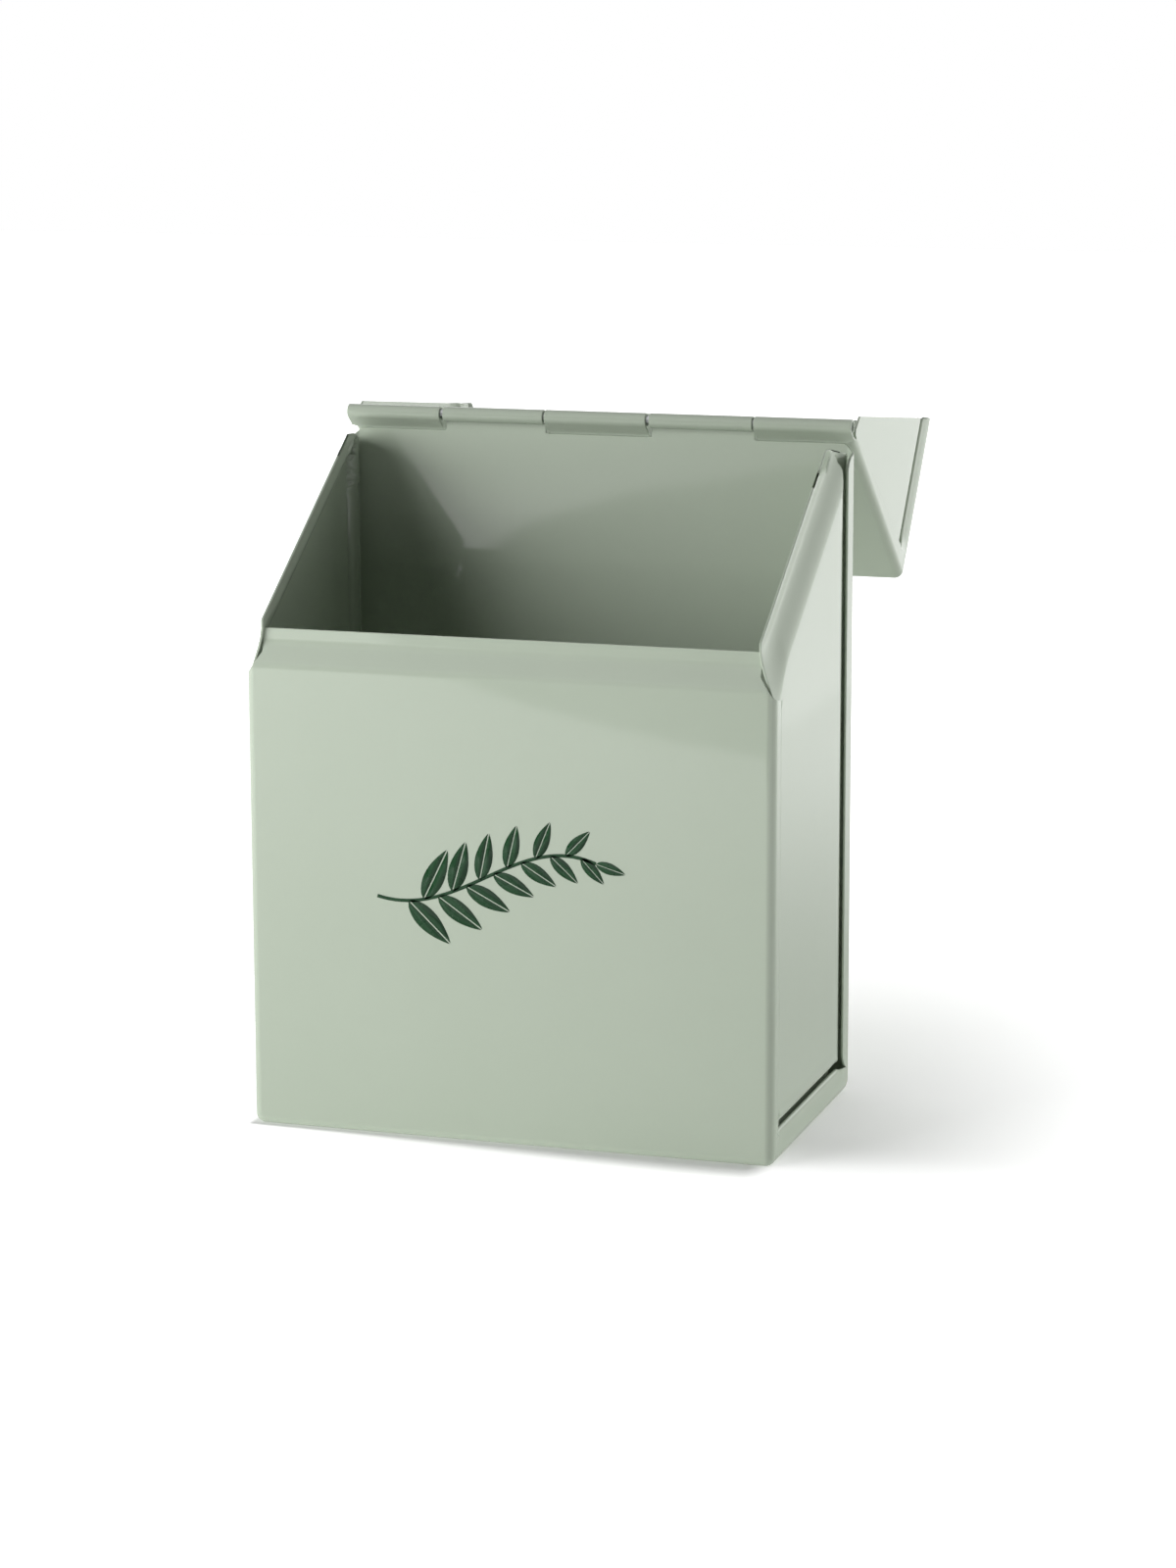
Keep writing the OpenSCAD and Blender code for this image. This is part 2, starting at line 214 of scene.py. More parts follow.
# Flat blanks
def inside(points, loop):
    """Tells which points lie inside a closed loop."""
    x, y = points[:, 0:1], points[:, 1:2]
    a, b = loop, np.roll(loop, -1, axis=0)
    spans = (a[:, 1] > y) != (b[:, 1] > y)
    rise = np.where(b[:, 1] == a[:, 1], 1.0, b[:, 1] - a[:, 1])
    cut = a[:, 0] + (y - a[:, 1]) * (b[:, 0] - a[:, 0]) / rise
    return (spans & (x < cut)).sum(axis=1) % 2 == 1


def line_distance(points, line, closed=False):
    """The distance of each point to an open or closed line of straight parts."""
    a = line if closed else line[:-1]
    b = np.roll(line, -1, axis=0) if closed else line[1:]
    d = b - a
    p = points[:, None, :] - a[None]
    t = np.clip((p * d).sum(-1) / np.maximum((d * d).sum(-1), 1e-12), 0, 1)
    return np.linalg.norm(p - t[..., None] * d, axis=-1).min(axis=1)


def refined(line, us, vs, least=0.15):
    """Adds points to an open line wherever it crosses the grid."""
    line = np.array(line, float)
    out = []
    for a, b in zip(line, line[1:]):
        d = b - a
        ts = []
        for axis, steps in ((0, us), (1, vs)):
            if abs(d[axis]) > 1e-9:
                t = (np.asarray(steps) - a[axis]) / d[axis]
                ts.extend(t[(t > 0) & (t < 1)])
        length, kept = np.hypot(*d), [0.0]
        for t in sorted(ts):
            if (t - kept[-1]) * length > least and (1 - t) * length > least:
                kept.append(t)
        out.extend(a + t * d for t in kept)
    out.append(line[-1])
    return np.array(out)


def round_corner(a, b, c, radius, steps=4):
    """The arc that rounds corner b of the line a, b, c."""
    _, centre, radius, a0, a1 = bend_line([a, b, c], [radius])[1]
    turns = np.linspace(a0, a1, steps + 1)
    return [centre + radius * np.array([math.cos(w), math.sin(w)]) for w in turns]


def softened(line, radius, closed=False):
    """Rounds the corners of a line by a small radius, less where the line is short."""
    line = [np.array(p, float) for p in line]
    n = len(line)
    out = [] if closed else [line[0]]
    for i in range(0 if closed else 1, n if closed else n - 1):
        a, b, c = line[i - 1], line[i], line[(i + 1) % n]
        u, v = b - a, c - b
        short = min(np.linalg.norm(u), np.linalg.norm(v))
        turn = math.acos(np.clip(u @ v / np.linalg.norm(u) / np.linalg.norm(v), -1, 1))
        fit = min(radius, 0.45 * short / max(math.tan(turn / 2), 1e-6))
        out.extend([b] if turn < 0.05 or fit < 0.05 else round_corner(a, b, c, fit))
    return out if closed else out + [line[-1]]


def triangulated(loop, inner):
    """Triangulates the flat shape inside a loop, on the loop's points and some inner ones."""
    edges = [(i, (i + 1) % len(loop)) for i in range(len(loop))]
    points = [Vector(p) for p in np.vstack([loop, inner])]
    verts, _, faces, *_ = delaunay_2d_cdt(points, edges, [], 0, 1e-7)
    flat = np.array([tuple(v) for v in verts])
    tris = np.array([tuple(f) for f in faces])
    return flat, tris[inside(flat[tris].mean(axis=1), loop)]


def kept_clear(points, loop, clear):
    """Keeps the points that lie inside a loop and clear of it."""
    points = points[inside(points, loop)]
    return points[line_distance(points, loop, closed=True) > clear]


def gridded(us, vs):
    """The points of a grid."""
    return np.array([(u, v) for u in us for v in vs])


def cut_blank(loop, us, vs, clear=0.3):
    """Triangulates the flat blank inside a loop, on the points of a grid."""
    return triangulated(loop, kept_clear(gridded(us, vs), loop, clear))


# Sheets with a thickness
CUT, HEM = 0, 1


def joined(parts):
    """Joins surfaces, given as points, normals, edge kinds and triangles, where they meet."""
    points = np.vstack([p[0] for p in parts])
    normals = np.vstack([p[1] for p in parts])
    kinds = np.concatenate([p[2] for p in parts])
    first = np.cumsum([0] + [len(p[0]) for p in parts])
    tris = np.vstack([p[3] + k for p, k in zip(parts, first)])
    _, keep, where = np.unique(np.round(points, 3), axis=0, return_index=True,
                               return_inverse=True)
    tris = where.reshape(-1)[tris]
    whole = ((tris[:, 0] != tris[:, 1]) & (tris[:, 1] != tris[:, 2]) & (tris[:, 2] != tris[:, 0]))
    tris = tris[whole]
    points, normals, kinds = points[keep], normals[keep], kinds[keep]
    a, b, c = (points[tris[:, k]] for k in range(3))
    across = np.cross(b - a, c - a)
    backwards = (across * normals[tris].sum(axis=1)).sum(axis=1) < 0
    tris[backwards] = tris[backwards][:, ::-1]
    return points, normals, kinds, tris


def arc_profile(radius, steps, degrees):
    """The first part of a rounded edge: out, in, and the two parts of its normal."""
    turns = [math.radians(degrees * k) for k in range(1, steps + 1)]
    return [(radius * math.sin(w), radius * (1 - math.cos(w)), math.sin(w), math.cos(w))
            for w in turns]


def cut_profile():
    """A cut edge, rounded on both sides by its coat of paint."""
    outer = arc_profile(CUT_ROUND, 4, 22.5)
    return np.array(outer + [(out, SHEET - deep, side, -face)
                             for out, deep, side, face in outer[::-1]])


def hem_profile():
    """A hem: the sheet is folded back flat against its inner side."""
    return np.array(arc_profile(SHEET, 6, 30) + [(-HEM_W, 2 * SHEET, -0.7, -0.7),
                                                 (-HEM_W, SHEET + 0.06, -0.7, 0.7)])


PROFILES = {CUT: cut_profile(), HEM: hem_profile()}


def rim_of(tris):
    """For each point on the rim of a surface, the next one along it."""
    sides = {(a, b) for t in tris for a, b in ((t[0], t[1]), (t[1], t[2]), (t[2], t[0]))}
    return {a: b for a, b in sides if (b, a) not in sides}


def rim_direction(before, here, after, normal):
    """The direction out of a sheet at a rim point, and how far a mitred corner reaches."""
    sides = []
    for way in (here - before, after - here):
        side = np.cross(way, normal)
        sides.append(side / max(np.linalg.norm(side), 1e-9))
    out = sides[0] + sides[1]
    out -= normal * (out @ normal)
    size = np.linalg.norm(out)
    out = out / size if size > 1e-6 else sides[0]
    return out, min(1.5, 1 / max(float(out @ sides[0]), 0.5))


def sheet_metal(name, parts, place):
    """Makes a closed sheet from its outer surface and carries it to its place."""
    points, normals, kinds, tris = joined(parts)
    normals = normals / np.linalg.norm(normals, axis=1)[:, None]
    count = len(points)
    follow = rim_of(tris)
    before = {b: a for a, b in follow.items()}
    verts = [points, points - SHEET * normals]
    norms = [normals, -normals]
    faces = [tuple(t) for t in tris] + [tuple(count + k for k in t[::-1]) for t in tris]
    rim = [v for v in follow if v in before]
    rings, total = {}, 2 * count
    for v in rim:
        n = normals[v]
        out, mitre = rim_direction(points[before[v]], points[v], points[follow[v]], n)
        # Columns: how far out and how deep the edge runs, and the two parts of its normal
        reach, deep, side, face = PROFILES[int(kinds[v])].T[:, :, None]
        stretch = mitre if kinds[v] == CUT else 1.0
        verts.append(points[v] + reach * out * stretch - deep * n)
        norms.append(side * out + face * n)
        rings[v] = [v] + list(range(total, total + len(reach))) + [count + v]
        total += len(reach)
    for a, ring in rings.items():
        beside = rings.get(follow[a])
        if beside:
            for k in range(len(ring) - 1):
                faces.append((beside[k], ring[k], ring[k + 1], beside[k + 1]))
    return mesh_piece(name, place(np.vstack(verts)), faces, turned(place, np.vstack(norms)))


def turned(place, ways):
    """Turns directions as place turns points."""
    return (place(ways) - place(np.zeros((1, 3)))) / MM


def mesh_piece(name, verts, faces, normals=None):
    """Puts a mesh of points and faces in the scene, shaded smooth."""
    mesh = bpy.data.meshes.new(name)
    mesh.from_pydata(verts.tolist(), [], faces)
    mesh.validate()
    mesh.shade_smooth()
    if normals is not None:
        mesh.normals_split_custom_set_from_vertices(normals.tolist())
    piece = bpy.data.objects.new(name, mesh)
    bpy.context.scene.collection.objects.link(piece)
    return piece


def on_body(points):
    """From the box's millimetres to the shared frame."""
    return (points + [0, -BOX_D / 2, 0]) * MM


def on_lid(points):
    """The same for the lid, which is drawn closed and turned to where it hangs."""
    y, z = points[:, 1] - PIN[0], points[:, 2] - PIN[1]
    c, s = math.cos(OPEN_TURN), math.sin(OPEN_TURN)
    hung = np.stack([points[:, 0] + LID_SHIFT, PIN[0] + c * y - s * z,
                     PIN[1] + s * y + c * z], axis=1)
    return on_body(hung)


# Sheets that wrap round the box, with flanges at their sides
def wrap_sides(line, x, s, half, amount=1.0):
    """Bends the two sides of a sheet round its long edges; amount 0 leaves them flat."""
    point, inward = line.at(s)
    flat = half - FOLD
    over = np.maximum(np.abs(x) - flat, 0)
    turn = np.minimum(over / FOLD, math.pi / 2)
    across = np.minimum(np.abs(x), flat) + amount * FOLD * np.sin(turn) + (1 - amount) * over
    deep = amount * FOLD * (1 - np.cos(turn))
    side = np.sign(x)
    tilt = amount * turn
    points = np.column_stack([side * across, point + inward * deep[:, None]])
    normals = np.column_stack([side * np.sin(tilt), -inward * np.cos(tilt)[:, None]])
    return points, normals


def side_face(flat, half, side, depth):
    """Stands a flat shape up as a side of the box, set in by a depth that may vary."""
    y, z = flat[:, 0], flat[:, 1]
    step = 0.02
    dy = (depth(y + step, z) - depth(y - step, z)) / (2 * step)
    dz = (depth(y, z + step) - depth(y, z - step)) / (2 * step)
    points = np.column_stack([side * (half - depth(y, z)), y, z])
    return points, np.column_stack([np.full(len(y), float(side)), dy, dz])


def edge_turn(x, half):
    """The blank's width that ends up at a distance x from the middle after folding."""
    flat = half - FOLD
    return x if x <= flat else flat + FOLD * math.asin(min(1, (x - flat) / FOLD))


def wrap_blank(line, half, first, last, shared):
    """Cuts the main sheet between its two free edges and the fold lines of its flanges."""
    flat = half - FOLD
    turn = np.linspace(0, FOLD * math.pi / 2, 9)[1:]
    us = np.concatenate([-flat - turn[::-1], np.linspace(-flat, flat, 35), flat + turn])
    vs = line.stations()
    first, last = (refined(softened(free, 0.8), us, vs) for free in (first, last))
    end = np.column_stack([np.full(len(shared), flat + turn[-1]), shared])
    half_loop = np.vstack([first[:-1], end, last[1:]])
    mirrored = half_loop[::-1] * [-1, 1]
    return cut_blank(np.vstack([half_loop, mirrored[1:-1]]), us, vs)


def shared_lengths(line, start, end):
    """The lengths at which a sheet's main face and its flanges have points in common."""
    stations = line.stations()
    between = stations[(stations > start + 0.3) & (stations < end - 0.3)]
    return np.concatenate([[start], between, [end]])


def fold_points(line, shared):
    """The points in y and z at which the main face has turned into a flange."""
    point, inward = line.at(shared)
    corner = point + FOLD * inward
    apart = np.linalg.norm(np.diff(corner, axis=0), axis=1) > 1e-6
    return corner[np.concatenate([[True], apart])]


def flanges(fold_line, free, us, vs, half, hem, reach):
    """Both side flanges, from their fold line to the free edge, curled in near their hems."""
    free = [tuple(fold_line[-1])] + free + [tuple(fold_line[0])]
    loop = np.vstack([fold_line, refined(free, us, vs)[1:-1]])
    blank, tris = cut_blank(loop, us, vs)
    hem = np.array(hem, float)

    def depth(y, z):
        near = line_distance(np.column_stack([y, z]), hem)
        return CURL * np.clip(1 - near / reach, 0, 1) ** 2

    kinds = np.where(line_distance(blank, hem) < 0.05, HEM, CUT)
    return [(*side_face(blank, half, side, depth), kinds, tris) for side in (1, -1)]


BODY_LINE = FoldedLine(
    bend_line([(LIP_INSET, FRONT_H), (LIP_INSET, LIP_FOOT), (0, STEP_FOOT), (0, 0), (BOX_D, 0),
               (BOX_D, PIN[1])], [STEP_FOLD, STEP_FOLD, FOLD, BACK_FOLD])
    + [("arc", PIN, KNUCKLE_R, 0.0, math.radians(BODY_ROLL))])


def make_body_wrap():
    """The sheet that makes the front, the bottom and the back, with its side flanges."""
    half, line = BOX_W / 2, BODY_LINE
    # Where the front's sides step out to the flanges, and the back's step in to the knuckles
    front = [(82.1, 155.6), (85.1, 151.0), (86.3, 149.4), (half, 148.3)]
    back = [(half, 213.5), (86.6, 214.3), (84.4, 216.1), (83.4, 216.6)]
    s_front = line.at_heights(0, 5, [z for _, z in front])
    s_back = line.at_heights(8, 9, [z for _, z in back])
    s_notch, s_curl = s_back[-1], line.length - CUT_ROUND
    first = [(0, CUT_ROUND), (front[0][0], CUT_ROUND)]
    first += [(edge_turn(x, half), s) for (x, _), s in zip(front, s_front)]
    last = [(edge_turn(x, half), s) for (x, _), s in zip(back, s_back)]
    inner, outer = KNUCKLE_W / 2 + KNUCKLE_PLAY, KNUCKLE_W * 1.5 - KNUCKLE_PLAY
    last += [(outer, s_notch), (outer, s_curl), (inner, s_curl), (inner, s_notch), (0, s_notch)]
    shared = shared_lengths(line, s_front[-1], s_back[0])
    blank, tris = wrap_blank(line, half, first, last, shared)
    points, normals = wrap_sides(line, blank[:, 0], blank[:, 1], half)
    # The flanges' free edge, from the back's top down, along the bottom and up the front
    free = [(93.2, 213.1), (91.6, 212.6), (90.3, 211.6), (89.6, 210.4), (BACK_FLANGE, 209.6),
            (BACK_FLANGE, 208.6), (BACK_FLANGE, 14.2), (89.4, 12.2), (90.8, 10.4), (92.6, 9.2),
            (94.6, 8.1), (94.5, 7.8), (92.4, 8.3), (89.5, 8.7), (86.6, LOW_FLANGE),
            (7.8, LOW_FLANGE), (7.1, 9.5), (FRONT_FLANGE, 10.6), (FRONT_FLANGE, 147.2),
            (6.2, 147.8)]
    ys = np.concatenate([[3.6, 4.6, 5.6, 6.3], np.arange(10, 86, 5),
                         [88.8, 89.3, 90, 91, 92, 93, 94, 95, 96]])
    zs = np.concatenate([[3.6, 4.6, 5.6, 6.6, 7.6, 8.4], np.arange(12, 212, 5)])
    sides = flanges(fold_points(line, shared), free, ys, zs, half,
                    hem=[(85, LOW_FLANGE), (9.5, LOW_FLANGE)], reach=5.4)
    return sheet_metal("body_sheet", [(points, normals, np.zeros(len(points)), tris)] + sides,
                       on_body)


# Side panels
SLOT_ROWS = [5, 4, 3, 2.2, 1.5, 1.0, 0.6, 0.2, -1, -3, -5]


def rows(line, offsets, spacing):
    """Points along a line of straight parts, in rows beside it."""
    line = np.array(line, float)
    out = []
    for a, b in zip(line, line[1:]):
        way = (b - a) / np.linalg.norm(b - a)
        t = np.arange(spacing / 2, np.linalg.norm(b - a), spacing)
        for off in offsets:
            out.append(a + t[:, None] * way + off * left_of(way))
    return np.vstack(out)


def panel_blank(outline, fine, coarse):
    """Triangulates a side panel with fine rows where it is formed and a coarse grid elsewhere."""
    loop = np.array(softened(outline, 1.0, closed=True))
    steps = np.arange(-5, 250, 3.0)
    loop = refined(np.vstack([loop, loop[:1]]), steps, steps, least=0.6)[:-1]
    fine = kept_clear(np.vstack(fine), loop, 0.35)
    _, first = np.unique(np.round(fine / 0.4), axis=0, return_index=True)
    fine = fine[np.sort(first)]
    spread = kept_clear(gridded(*coarse), loop, 0.8)
    cell = 1.5
    around = [[i, j] for i in (-1, 0, 1) for j in (-1, 0, 1)]
    taken = {tuple(c) for p in fine for c in np.round(p / cell) + around}
    free = np.array([tuple(c) not in taken for c in np.round(spread / cell)])
    return triangulated(loop, np.vstack([fine, spread[free]]))


def slot_wall(e, deep, lip=2.6, run=4.2):
    """How deep a panel lies at a distance e from the flange beside it."""
    fall = lip * np.clip(1 - (e - SLOT_W) / run, 0, 1) ** 2
    return np.where(e > SLOT_W, fall, lip + (deep - lip) * (1 - smooth(e, 0.35, SLOT_W)))


def dimple(y, z):
    """The long dimple where a neck's step runs out at its tip."""
    dy, dz = DIMPLE_WAY
    along = ((y - 81.0) * dy + (z - 212.4) * dz) / DIMPLE_LONG
    beside = ((z - 212.0) * dy - (y - 81.0) * dz) / DIMPLE_WIDE
    return DIMPLE_DEEP * np.clip(1 - along ** 2 - beside ** 2, 0, 1) ** 1.5


def side_depth(y, z):
    """How far a side panel lies inside the box's outline."""
    # The step below the neck is wider near the front
    below = (NECK_LOW[1] + NECK_SLOPE * (y - NECK_LOW[0]) - z) * NECK_COS
    front = 1 - smooth(y, 1.5, 17)
    top, foot = 3.6 - 2.0 * front, 13.4 + 6 * front
    step = (NECK_INSET - PANEL_INSET) * (1 - smooth(below, top, foot))
    # The slots beside the back flange and above the bottom one, and the panel under the back one
    slots = np.maximum(slot_wall(BACK_SLOT - y, SLOT_DEEP, lip=1.3, run=7),
                       slot_wall(z - LOW_SLOT, SLOT_DEEP) * (1 - smooth(z, 18, 20)))
    under_flange = SLOT_DEEP - 2.2 * smooth(y, 89.5, 93.5)
    slots = np.where(y > BACK_SLOT, np.minimum(slots, under_flange), slots)
    seam = SEAM_DEEP * (1 - smooth(y, 6.9, 7.8)) * (1 - smooth(z, 147.6, 149.2))
    return PANEL_INSET + np.maximum(np.maximum(step, slots), seam) + dimple(y, z)


def make_side_panel(name, side):
    """A side of the box, with its stepped neck and with slots beside the flanges."""
    outline = [(2.9, 2.9), (78, 2.9), (86.2, 8.6), (87.8, 14.4), (95.2, 24), (95.2, 213.6),
               (84.5, 216.1), (79.6, 216.4), (1.8, 165.9), (1.8, 149.6), (2.9, 148.7)]
    neck = [NECK_LOW - [4, 4 * NECK_SLOPE], NECK_TIP + [14, 14 * NECK_SLOPE]]
    fine = [rows(neck, -np.arange(0.8, 21.5, 0.8), 2.0),
            rows([(1.5, 166), (1.5, 143)], [-0.8, -2, -3.6, -5.6, -8, -11, -14], 1.6),
            rows([(BACK_SLOT, 10), (BACK_SLOT, 214)], SLOT_ROWS, 3.0),
            rows([(3, LOW_SLOT), (86, LOW_SLOT)], SLOT_ROWS, 3.0),
            rows([(7, 11), (7, 149)], [0.3, -0.2, -0.6, -1.0, -2.5], 4.0),
            rows([(70, 203), (84, 214.7)], np.arange(-6, 6, 0.55), 0.6),
            rows([(84, 203), (96, 213)], np.arange(-6, 6, 0.7), 0.8)]
    blank, tris = panel_blank(outline, fine, (np.arange(4, 96, 5.0), np.arange(4, 218, 5.0)))
    points, normals = side_face(blank, BOX_W / 2, side, side_depth)
    return sheet_metal(name, [(points, normals, np.zeros(len(points)), tris)], on_body)


# The lid
LID_LINE = FoldedLine(
    [("arc", PIN, KNUCKLE_R, math.radians(90 - LID_ROLL), math.radians(90))]
    + bend_line([(PIN[0], CLOSED_H), (0, CLOSED_H), (0, LID_EDGE)], [FOLD]))


def lid_edge(y):
    """The height of the free edge of the closed lid's sides."""
    return LID_EDGE + CUT_ROUND + LID_SLOPE * y


def make_lid_shell():
    """The lid's top and front with their side flanges, rolled round the pin at the hinge."""
    half, line = LID_W / 2, LID_LINE
    flat = half - FOLD
    s_pin = line.starts[1]

    def back(y):
        """The length at which the lid's top is y behind the front."""
        return s_pin + PIN[0] - y

    inner, outer = KNUCKLE_W / 2 - KNUCKLE_PLAY, KNUCKLE_W * 1.5 + KNUCKLE_PLAY
    s_notch = s_pin + LID_NOTCH
    side = half - CUT_ROUND
    first = [(0, CUT_ROUND), (inner, CUT_ROUND), (inner, s_notch), (outer, s_notch),
             (outer, CUT_ROUND), (side, CUT_ROUND), (side, back(91.2)), (flat + 3.6, back(89.4)),
             (flat + 4.4, back(86.5)), (flat + FOLD * math.pi / 2, back(LID_FLANGE_BACK))]
    # The front edge follows the slant of the sides round the folds, and rises between them
    last = [(flat + FOLD * w, line.length - (lid_edge(FOLD * (1 - math.cos(w))) - LID_EDGE))
            for w in np.radians([90, 72, 54, 36, 18, 0])]
    s_corner, s_end = last[0][1], last[-1][1]
    last += [(flat - 0.3, s_end), (flat - 1.6, s_end - LID_RISE), (0, s_end - LID_RISE)]
    shared = shared_lengths(line, back(LID_FLANGE_BACK), s_corner)
    blank, tris = wrap_blank(line, half, first, last, shared)
    folded = smooth(blank[:, 1], back(91.0), back(89.0))
    points, normals = wrap_sides(line, blank[:, 0], blank[:, 1], half, folded)
    free = [(LID_FLANGE, lid_edge(LID_FLANGE)), (LID_FLANGE, 216.3), (8.3, 217.1), (16.4, 217.6),
            (55, 219.7)]
    ys = np.concatenate([[3.6, 4.4, 5.2, 6, 6.7, 7.3], np.arange(12, 84, 5.0)])
    zs = np.concatenate([np.arange(165, 215, 5.0), [217.9, 218.6, 219.4, 220.2, 221, 221.6]])
    hem = [(LID_FLANGE, 215.6), (LID_FLANGE, lid_edge(LID_FLANGE) + 0.6)]
    sides = flanges(fold_points(line, shared), free, ys, zs, half, hem, reach=5.0)
    return sheet_metal("lid_sheet", [(points, normals, np.zeros(len(points)), tris)] + sides,
                       on_lid)


def cheek_depth(y, z):
    """How far a cheek lies inside the lid's outline."""
    slot = slot_wall(y - LID_SLOT, LID_SLOT_DEEP, lip=1.8, run=6.0)
    flange_edge = np.interp(y, [8.3, 16.4, 55, 86], [217.0, 217.3, 219.4, 222.2])
    seam = SEAM_DEEP * (1 - smooth(flange_edge - z, -0.3, 0.2))
    return PANEL_INSET + np.maximum(slot, seam)


def make_cheek(name, side):
    """A side of the lid, with a slot beside the front's flange."""
    outline = [(2.9, lid_edge(2.9)), (88.2, lid_edge(88.2)), (90.3, 220.8), (89.2, 221.9),
               (2.9, 221.9)]
    fine = [rows([(LID_SLOT, 165), (LID_SLOT, 222)],
                 [-7, -6, -5, -4, -3, -2.2, -1.5, -1, -0.6, -0.2, 1, 3], 2.5),
            rows([(8, 217), (16.4, 217.3), (55, 219.4), (88, 222.4)],
                 [0.5, -0.2, -0.6, -1.0, -2.2], 3.0)]
    blank, tris = panel_blank(outline, fine, (np.arange(4, 90, 5.0), np.arange(164, 222, 5.0)))
    points, normals = side_face(blank, LID_W / 2, side, cheek_depth)
    return sheet_metal(name, [(points, normals, np.zeros(len(points)), tris)], on_lid)


body_sheet = make_body_wrap()
side_left = make_side_panel("side_sheet_left", -1)
side_right = make_side_panel("side_sheet_right", 1)
lid_sheet = make_lid_shell()
cheek_left = make_cheek("cheek_sheet_left", -1)
cheek_right = make_cheek("cheek_sheet_right", 1)
for piece, node, body in ((body_sheet, "body_wrap", "body"),
                          (side_left, "side_panel_left", "body"),
                          (side_right, "side_panel_right", "body"),
                          (lid_sheet, "lid_shell", "lid"),
                          (cheek_left, "lid_cheek_left", "lid"),
                          (cheek_right, "lid_cheek_right", "lid")):
    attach(piece, body)
    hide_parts(node)


# Finishes
class Wire:
    """A value or colour in a node tree; what is worked out from it adds Math nodes."""

    def __init__(self, nodes, socket):
        self.nodes, self.socket = nodes, socket

    def worked(self, operation, first, second):
        return self.nodes.add("Math", {"operation": operation}, first, second)

    def __add__(self, other):
        return self.worked("ADD", self, other)

    def __sub__(self, other):
        return self.worked("SUBTRACT", self, other)

    def __rsub__(self, other):
        return self.worked("SUBTRACT", other, self)

    def __mul__(self, other):
        return self.worked("MULTIPLY", self, other)

    def __truediv__(self, other):
        return self.worked("DIVIDE", self, other)

    def __mod__(self, other):
        return self.worked("MODULO", self, other)

    def __pow__(self, other):
        return self.worked("POWER", self, other)

    __radd__, __rmul__ = __add__, __mul__


class Nodes:
    """The nodes of a material, a world or a group of geometry nodes."""

    def __init__(self, tree):
        self.tree = tree
        tree.nodes.clear()

    def add(self, kind, settings, *values, out=0, **named):
        """Adds a node: its settings first, then the values or wires of its sockets."""
        node = self.tree.nodes.new(kind if "Node" in kind else "ShaderNode" + kind)
        for key, value in settings.items():
            if key == "stops":
                ramp = node.color_ramp.elements
                while len(ramp) < len(value):
                    ramp.new(0.5)
                for stop, (place, colour) in zip(ramp, value):
                    stop.position, stop.color = place, colour
            else:
                setattr(node, key, value)
        chosen = list(enumerate(values)) + [(k.replace("_", " "), v) for k, v in named.items()]
        for key, value in chosen:
            self.plug(node.inputs[key], value)
        return Wire(self, node.outputs[out])

    def plug(self, socket, value):
        """Gives a socket its value, its wire or its list of wires."""
        if isinstance(value, list):
            for wire in value:
                self.plug(socket, wire)
        elif isinstance(value, Wire):
            self.tree.links.new(value.socket, socket)
        else:
            socket.default_value = value

    def split(self, vector):
        """The x, y and z of a vector."""
        node = self.add("SeparateXYZ", {}, vector).socket.node
        return [Wire(self, part) for part in node.outputs]

    def end(self, kind, wire):
        """Ends the tree in an output node."""
        self.plug(self.tree.nodes.new(kind).inputs[0], wire)


def drawn_on(owner):
    """The nodes of a material or a world."""
    owner.use_nodes = True
    return Nodes(owner.node_tree)


def object_place(nodes):
    """Where a point lies, in the object's own metres."""
    return nodes.add("TexCoord", {}, out=3)


def noise(nodes, where, scale, detail=2.0):
    """Even noise from 0 to 1 on object coordinates."""
    return nodes.add("TexNoise", {}, Vector=where, Scale=scale, Detail=detail, Roughness=0.5)


def powder_coat():
    """Glossy sage powder coat: an even colour, orange peel and slightly wavy reflections."""
    paint = bpy.data.materials.new("sage_powder_coat")
    nodes = drawn_on(paint)
    where = object_place(nodes)
    cloud = noise(nodes, where, 18, 3)
    fleck = noise(nodes, where, 900)
    colour = nodes.add("ValToRGB", {"stops": [(0.0, (0.446, 0.511, 0.414, 1)),
                                              (1.0, (0.476, 0.541, 0.444, 1))]},
                       cloud * 0.7 + fleck * 0.3)
    wave = nodes.add("Bump", {}, Strength=1.0, Distance=0.2 * MM,
                     Height=noise(nodes, where, 11, 1))
    peel = nodes.add("Bump", {}, Strength=1.0, Distance=0.002 * MM,
                     Height=noise(nodes, where, 380), Normal=wave)
    finish = nodes.add("BsdfPrincipled", {}, Base_Color=colour, IOR=1.5,
                       Roughness=cloud * 0.03 + 0.025, Normal=peel)
    nodes.end("ShaderNodeOutputMaterial", finish)
    return paint


def bare_wire():
    """Drawn steel wire with fine marks along its length."""
    steel = bpy.data.materials.new("drawn_steel_wire")
    nodes = drawn_on(steel)
    drawn = nodes.add("Mapping", {}, Vector=object_place(nodes), Scale=(40, 2500, 2500))
    marks = noise(nodes, drawn, 1.0, 3)
    colour = nodes.add("ValToRGB", {"stops": [(0.3, (0.42, 0.43, 0.44, 1)),
                                              (0.7, (0.62, 0.63, 0.64, 1))]}, marks)
    bump = nodes.add("Bump", {}, Strength=0.4, Distance=0.02 * MM, Height=marks)
    finish = nodes.add("BsdfPrincipled", {}, Base_Color=colour, Metallic=1.0,
                       Roughness=marks * 0.2 + 0.25, Normal=bump)
    nodes.end("ShaderNodeOutputMaterial", finish)
    return steel


